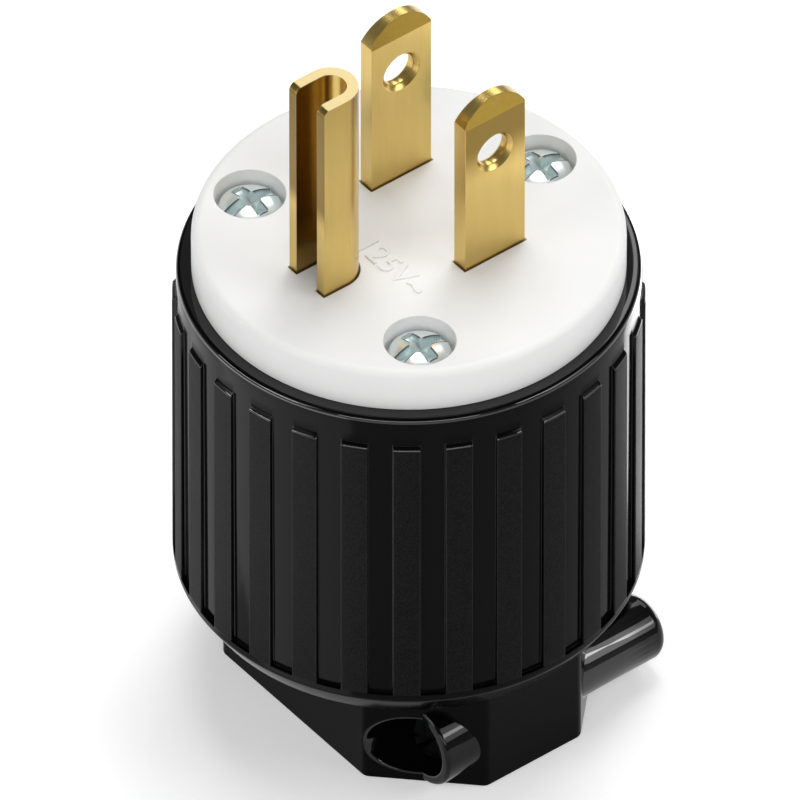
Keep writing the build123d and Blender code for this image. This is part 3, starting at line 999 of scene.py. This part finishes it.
def make_face_screw(name, spot):
    """Pan head, then shank: radius and height run along one profile, and the recess
    lowers the head's height as a function of the place on it."""
    columns = 288
    top_r = np.linspace(0, head_radius - 0.08, 84)
    profile = np.concatenate([
        np.column_stack([top_r, dome_height(top_r)]),
        arc((head_radius - head_round, head_rim - 0.06), head_round, 60, 0, 4),
        [[head_radius, slot_floor + 0.02], [head_radius, slot_floor - 0.05]],
        [[head_radius, 0.06], [head_radius - 0.06, 0.0], [screw_radius, 0.0]],
        [[screw_radius, -1.0], [screw_radius, screw_point - screw_length]],
        [[screw_radius - screw_point, -screw_length], [0.0, -screw_length]],
    ])
    points = lathe(profile, columns)
    head = points[:len(top_r) + 5]      # the dome, its round and the edge's first row
    head[..., 2] = recess_height(head[..., 0], head[..., 1], head[..., 2])
    centre = np.array([spot.x, spot.y, well_floor])
    mesh = grid_mesh(f"{name}_finished", points[::-1] + centre, poles=True)
    # Marks where painted shade lines and fills the recess
    marks = recess_shade_marks(points_of(mesh) / MM - centre)
    for mark, values in zip(("painted_recess_shadow_line", "painted_recess_shade"), marks):
        layer = mesh.attributes.new(mark, "FLOAT", "POINT")
        layer.data.foreach_set("value", values.astype(np.float32))
    shade(add_piece(mesh, f"{name}_finished", "zinc_plate", name), sharp_angle=32)


for name, spot in screw_spots.items():
    make_face_screw(name, spot)

for name, node in nodes.items():
    node.data.materials.clear()
    node.data.materials.append(finishes[node_slots[name]])


# Floor and light

floor_half = 2.0            # metres
floor_gap = 0.02            # millimetres under the neck's end, so that no two faces coincide
floor_glow = 0.3


def seen_by_eye(finish):
    """1 for camera, glossy and transmission rays, 0 for the rays that light the object."""
    path = finish.node("ShaderNodeLightPath", {}, {}).socket.node
    camera, glossy, transmission = (
        Value(finish, path.outputs[f"Is {ray} Ray"])
        for ray in ("Camera", "Glossy", "Transmission")
    )
    return finish.math("MAXIMUM", finish.math("MAXIMUM", camera, glossy), transmission)


def floor_material():
    """Near-white floor that takes the shadow; seen directly it is lifted a little."""
    finish = Finish(
        "floor_white", Base_Color=colour(0.9, 0.9, 0.9), Roughness=0.9, Specular_IOR_Level=0.0
    )
    plain = Value(finish, finish.shader.outputs[0])
    glow = finish.node(
        "ShaderNodeEmission", {}, {"Color": colour(1, 1, 1), "Strength": floor_glow}
    )
    lifted = finish.node("ShaderNodeAddShader", {}, {0: plain, 1: glow})
    mixed = finish.node(
        "ShaderNodeMixShader", {}, {0: seen_by_eye(finish), 1: plain, 2: lifted}
    )
    output = finish.tree.nodes["Material Output"]
    finish.tree.links.new(mixed.socket, output.inputs["Surface"])
    return finish.material


def lay_floor():
    """A flat square sheet, as a grid of two parameters."""
    u, v = np.meshgrid([-floor_half, floor_half], [-floor_half, floor_half])
    points = np.stack([u, v, np.full_like(u, -floor_gap * MM)], axis=-1).reshape(-1, 3)
    mesh = bpy.data.meshes.new("floor")
    mesh.from_pydata(points, [], [(0, 1, 3, 2)])
    mesh.materials.append(floor_material())
    floor = bpy.data.objects.new("floor", mesh)
    scene.collection.objects.link(floor)


class WorldFinish(Finish):
    """The world's node tree, with the same method for its nodes."""

    def __init__(self):
        world = bpy.data.worlds.new("studio")
        world.use_nodes = True
        scene.world = world
        self.tree = world.node_tree


def light_world(horizon, zenith):
    """A studio room: its strength falls smoothly from the horizon's to the zenith's."""
    room = WorldFinish()
    ray = room.node("ShaderNodeTexCoord", {}, {}, "Generated")
    height = room.axes(ray)[2]
    strength = horizon + height.step(0.08, 0.5) * (zenith - horizon)
    background = room.node(
        "ShaderNodeBackground", {}, {"Color": colour(1, 1, 1), "Strength": strength}
    )
    output = room.tree.nodes["World Output"]
    room.tree.links.new(background.socket, output.inputs["Surface"])


def add_lamp(name, azimuth, elevation, distance, size, radiance, lights):
    """A rectangular lamp that faces the plug from a direction; size and distance in metres.

    lights is "all", "matte" for a fill that no surface mirrors, or "housing" for a card
    that only the black housing mirrors.
    """
    towards = direction(azimuth, elevation)
    lamp_data = bpy.data.lights.new(name, "AREA")
    lamp_data.shape = "RECTANGLE"
    lamp_data.size, lamp_data.size_y = size
    lamp_data.energy = radiance * pi * size[0] * size[1]
    lamp = bpy.data.objects.new(name, lamp_data)
    scene.collection.objects.link(lamp)
    lamp.location = Vector((0, 0, rim_z / 2)) + towards * distance
    lamp.rotation_mode = "QUATERNION"
    lamp.rotation_quaternion = (-towards).to_track_quat("-Z", "Y")
    lamp.visible_camera = False
    lamp.visible_diffuse = lights != "housing"
    lamp.visible_glossy = lights != "matte"
    if lights == "housing":
        receivers = bpy.data.collections.new(f"{name}_receivers")
        for piece in housing:
            receivers.objects.link(piece)
        lamp.light_linking.receiver_collection = receivers
    return lamp


def add_floor_card(name, corner, heading, size, radiance):
    """A card that lies face up on the floor, for the housing's mirror image only.

    One corner and one edge's heading are given, the heading in degrees from the X axis.
    """
    lamp = add_lamp(name, 0, 0, 0.5, size, radiance, "housing")
    lamp.rotation_mode = "XYZ"
    lamp.rotation_euler = (pi, 0, radians(heading))
    along = Vector((cos(radians(heading)), sin(radians(heading)), 0))
    beside = Vector((along.y, -along.x, 0))
    lamp.location = Vector((*corner, 0.5)) * MM + along * size[0] / 2 + beside * size[1] / 2


# Name, azimuth, elevation, distance, size, radiance and what each lamp lights
lamps = (
    ("top_softbox", 142, 75, 0.9, (0.45, 0.45), 5.65, "all"),
    ("right_softbox", 40, 32, 0.9, (0.45, 0.5), 2.9, "all"),
    ("back_softbox", 118, 38, 0.9, (0.45, 0.4), 3.0, "all"),
    ("left_softbox", -95, 30, 0.9, (0.35, 0.5), 3.0, "all"),
    ("front_fill", -38, 32, 0.9, (0.6, 0.5), 2.2, "matte"),
    ("front_strip", -38, 20, 0.8, (0.9, 0.06), 14.0, "housing"),
    ("right_strip", 32, 31, 0.8, (0.5, 0.1), 11.0, "housing"),
    ("left_strip", -110, 22, 0.8, (0.6, 0.06), 16.0, "housing"),
)

# Name, corner in millimetres, heading, size in metres and radiance
floor_cards = (
    ("left_card", (-24.6, -16), 203.6, (0.1, 0.1), 2.0),
    ("far_left_card", (-67, 62), 0, (0.045, 0.05), 0.7),
    ("right_card", (28, 34), 0, (0.06, 0.045), 4.6),
)

aim_camera()
lay_floor()
light_world(horizon=0.35, zenith=0.2)
for lamp in lamps:
    add_lamp(*lamp)
for card in floor_cards:
    add_floor_card(*card)

scene.view_settings.view_transform = "Standard"
